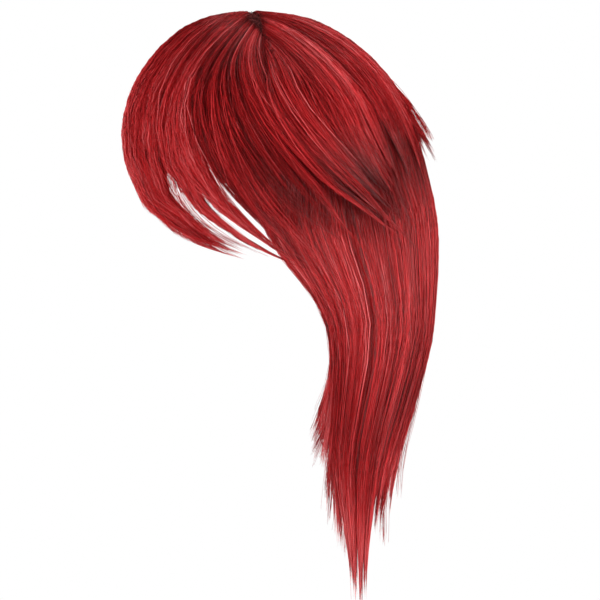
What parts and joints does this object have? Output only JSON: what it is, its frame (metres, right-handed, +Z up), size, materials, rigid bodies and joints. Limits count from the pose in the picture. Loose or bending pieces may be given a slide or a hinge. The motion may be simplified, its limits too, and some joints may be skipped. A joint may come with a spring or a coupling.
{
  "type": "long layered wig",
  "caption": "Long red layered wig on a thin net cap, with a swept fringe, a short crown layer over a dark parting and straight length that hangs to a narrow point at the back.",
  "frame": {"origin": "top of the head inside the cap, where the wig is worn", "axes": "+Z up, the face looks along -Y, the wearer's left is +X"},
  "size_m": [0.2022, 0.2558, 0.4692],
  "materials": {
    "hair": "smooth synthetic hair fibre with a soft sheen",
    "parting": "matt, fuzzy knotted roots",
    "cap_net": "matt open net"
  },
  "bodies": {
    "root": {"wig_cap": "cap_net", "parting_strip": "parting", "crown_back": "hair", "crown_left": "hair", "crown_right": "hair", "fringe_left": "hair", "fringe_right": "hair", "length_back": "hair", "length_left": "hair", "length_right": "hair", "side_left": "hair", "side_right": "hair"}
  },
  "joints": []
}
